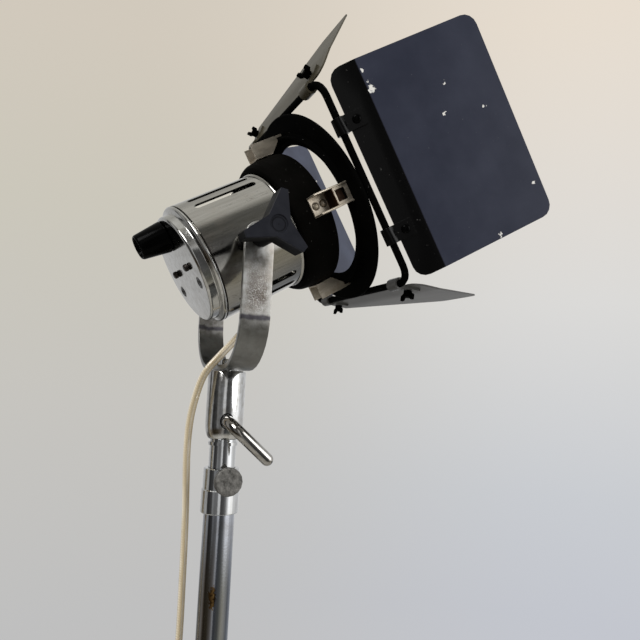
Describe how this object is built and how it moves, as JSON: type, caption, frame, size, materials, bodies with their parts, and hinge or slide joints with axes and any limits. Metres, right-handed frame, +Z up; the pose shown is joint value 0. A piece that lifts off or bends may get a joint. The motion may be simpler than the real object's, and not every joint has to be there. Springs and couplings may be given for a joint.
{
  "type": "spotlight floor lamp",
  "caption": "Small chrome spotlight with four black barn doors in a strap yoke, on a telescopic chrome column with a folding tripod.",
  "frame": {"origin": "on the floor, at the centre of the box around the lamp without its flex", "axes": "+Z up; the lamp faces -Y, tilted up; its tilt knob is on the -X side"},
  "size_m": [0.6282, 0.5789, 1.4031],
  "materials": {
    "chrome": "polished, lightly pitted",
    "black_paint": "satin",
    "black_plastic": "satin",
    "rubber": "matte",
    "clear_flex": "clear over copper",
    "lens_glass": "clear",
    "bulb_glass": "clear",
    "ceramic": "glazed"
  },
  "bodies": {
    "base": {"column_tube": "chrome", "brace_hub": "chrome", "riser_collar": "chrome", "cord_drop": "clear_flex", "cord_coil": "clear_flex", "plug": "black_plastic"},
    "collar_screw": {"collar_thumbscrew": "chrome"},
    "hub": {"leg_hub": "chrome"},
    "hub_screw": {"hub_thumbscrew": "chrome"},
    "riser": {"riser_tube": "chrome", "cord_twist": "clear_flex"},
    "pan": {"stand_socket": "chrome", "yoke": "chrome", "yoke_bolt": "chrome", "cord_head": "clear_flex"},
    "lever": {"socket_lever": "chrome"},
    "lamp": {"lamp_can": "chrome", "rear_cap": "chrome", "guide_rod_near": "black_plastic", "guide_rod_far": "black_plastic", "pivot_spacer_near": "black_plastic", "pivot_spacer_far": "black_plastic", "tilt_stud": "chrome", "pivot_screw": "chrome", "front_collar": "black_paint", "lens": "lens_glass", "lens_ring": "black_paint", "spring_clip_top": "chrome", "spring_clip_near": "chrome", "spring_clip_bottom": "chrome", "spring_clip_far": "chrome", "cord_gland": "rubber"},
    "tilt_knob": {"tilt_knob": "black_plastic"},
    "focus_knob": {"focus_knob": "black_plastic"},
    "carriage": {"focus_carriage": "chrome", "lamp_holder": "ceramic", "bulb": "bulb_glass", "reflector": "chrome"},
    "doors": {"barn_ring": "black_paint", "rod_frame": "black_paint"},
    "leg_front": {"leg_front": "chrome", "foot_front": "rubber"},
    "brace_front": {"brace_front": "chrome"},
    "leg_right": {"leg_right": "chrome", "foot_right": "rubber"},
    "brace_right": {"brace_right": "chrome"},
    "leg_left": {"leg_left": "chrome", "foot_left": "rubber"},
    "brace_left": {"brace_left": "chrome"},
    "leaf_top": {"leaf_top": "black_paint"},
    "leaf_near": {"leaf_near": "black_paint"},
    "leaf_bottom": {"leaf_bottom": "black_paint"},
    "leaf_far": {"leaf_far": "black_paint"},
    "wing_screw_bottom_far": {"wing_screw_bottom_far": "black_paint"},
    "wing_screw_bottom_near": {"wing_screw_bottom_near": "black_paint"},
    "wing_screw_top_far": {"wing_screw_top_far": "black_paint"},
    "wing_screw_top_near": {"wing_screw_top_near": "black_paint"}
  },
  "joints": [
    {"name": "riser_slide", "type": "slide", "parent": "base", "child": "riser", "axis": [0, 0, 1], "range_m": [-0.012, 0.45], "deforming": ["cord_twist"]},
    {"name": "collar_screw_turn", "type": "hinge", "parent": "base", "child": "collar_screw", "pos_m": [0, 0.08696, 1.09615], "axis": [-1, 0, 0], "range_deg": [0, 360]},
    {"name": "hub_slide", "type": "slide", "parent": "base", "child": "hub", "axis": [0, 0, 1], "range_m": [0, 0.14773]},
    {"name": "hub_screw_turn", "type": "hinge", "parent": "hub", "child": "hub_screw", "pos_m": [0, 0.08696, 0.29197], "axis": [0.866, -0.5, 0], "range_deg": [0, 360]},
    {"name": "leg_front_fold", "type": "hinge", "parent": "hub", "child": "leg_front", "pos_m": [0, 0.06086, 0.29197], "axis": [1, 0, 0], "range_deg": [0, 44]},
    {"name": "brace_front_fold", "type": "hinge", "parent": "base", "child": "brace_front", "pos_m": [0, 0.06086, 0.022], "axis": [-1, 0, 0], "range_deg": [0, 44]},
    {"name": "leg_right_fold", "type": "hinge", "parent": "hub", "child": "leg_right", "pos_m": [0.0226, 0.10001, 0.29197], "axis": [-0.5, 0.866, 0], "range_deg": [0, 44]},
    {"name": "brace_right_fold", "type": "hinge", "parent": "base", "child": "brace_right", "pos_m": [0.0226, 0.10001, 0.022], "axis": [0.5, -0.866, 0], "range_deg": [0, 44]},
    {"name": "leg_left_fold", "type": "hinge", "parent": "hub", "child": "leg_left", "pos_m": [-0.0226, 0.10001, 0.29197], "axis": [-0.5, -0.866, 0], "range_deg": [0, 44]},
    {"name": "brace_left_fold", "type": "hinge", "parent": "base", "child": "brace_left", "pos_m": [-0.0226, 0.10001, 0.022], "axis": [0.5, 0.866, 0], "range_deg": [0, 44]},
    {"name": "head_pan", "type": "hinge", "parent": "riser", "child": "pan", "pos_m": [0, 0.08696, 1.1193], "axis": [0, 0, 1], "range_deg": [-180, 180], "deforming": ["cord_twist", "cord_head"]},
    {"name": "lever_turn", "type": "hinge", "parent": "pan", "child": "lever", "pos_m": [0, 0.08696, 1.1304], "axis": [-0.9903, 0.1392, 0], "range_deg": [-180, 80]},
    {"name": "head_tilt", "type": "hinge", "parent": "pan", "child": "lamp", "pos_m": [0, 0.08696, 1.2346], "axis": [-1, 0, 0], "range_deg": [-45.8, 59.2], "deforming": ["cord_head"]},
    {"name": "tilt_knob_turn", "type": "hinge", "parent": "lamp", "child": "tilt_knob", "pos_m": [0, 0.08696, 1.2346], "axis": [-1, 0, 0], "range_deg": [0, 360]},
    {"name": "carriage_slide", "type": "slide", "parent": "lamp", "child": "carriage", "axis": [0, -0.859, 0.512], "range_m": [-0.004, 0.006]},
    {"name": "focus_turn", "type": "hinge", "parent": "lamp", "child": "focus_knob", "pos_m": [0, 0.09976, 1.25607], "axis": [0, -0.859, 0.512], "range_deg": [-360, 540]},
    {"name": "ring_turn", "type": "hinge", "parent": "lamp", "child": "doors", "pos_m": [0, 0.08824, 1.23675], "axis": [0, -0.859, 0.512], "continuous": true},
    {"name": "leaf_top_swing", "type": "hinge", "parent": "doors", "child": "leaf_top", "pos_m": [0, 0.06221, 1.32549], "axis": [-1, 0, 0], "range_deg": [-75, 60]},
    {"name": "leaf_near_swing", "type": "hinge", "parent": "doors", "child": "leaf_near", "pos_m": [-0.0629, 0.03, 1.27146], "axis": [0, 0.512, 0.859], "range_deg": [-77, 51]},
    {"name": "leaf_bottom_swing", "type": "hinge", "parent": "doors", "child": "leaf_bottom", "pos_m": [0, -0.0022, 1.21744], "axis": [1, 0, 0], "range_deg": [-69, 66]},
    {"name": "leaf_far_swing", "type": "hinge", "parent": "doors", "child": "leaf_far", "pos_m": [0.0629, 0.03, 1.27146], "axis": [0, -0.512, -0.859], "range_deg": [-57, 71]},
    {"name": "wing_screw_bottom_far_turn", "type": "hinge", "parent": "leaf_bottom", "child": "wing_screw_bottom_far", "pos_m": [0.0475, -0.01127, 1.2144], "axis": [0, 0.0906, -0.9959], "range_deg": [0, 360]},
    {"name": "wing_screw_bottom_near_turn", "type": "hinge", "parent": "leaf_bottom", "child": "wing_screw_bottom_near", "pos_m": [-0.0475, -0.01127, 1.2144], "axis": [0, 0.0906, -0.9959], "range_deg": [0, 360]},
    {"name": "wing_screw_top_far_turn", "type": "hinge", "parent": "leaf_top", "child": "wing_screw_top_far", "pos_m": [0.0475, 0.06156, 1.33503], "axis": [0, 0.9553, 0.2957], "range_deg": [0, 360]},
    {"name": "wing_screw_top_near_turn", "type": "hinge", "parent": "leaf_top", "child": "wing_screw_top_near", "pos_m": [-0.0475, 0.06156, 1.33503], "axis": [0, 0.9553, 0.2957], "range_deg": [0, 360]}
  ],
  "couplings": [
    {"joint": "leg_front_fold", "follows": "hub_slide", "rad_per_m": 5.1983},
    {"joint": "brace_front_fold", "follows": "hub_slide", "rad_per_m": 5.1983},
    {"joint": "leg_right_fold", "follows": "hub_slide", "rad_per_m": 5.1983},
    {"joint": "brace_right_fold", "follows": "hub_slide", "rad_per_m": 5.1983},
    {"joint": "leg_left_fold", "follows": "hub_slide", "rad_per_m": 5.1983},
    {"joint": "brace_left_fold", "follows": "hub_slide", "rad_per_m": 5.1983},
    {"joint": "focus_turn", "follows": "carriage_slide", "rad_per_m": 1570.8}
  ]
}
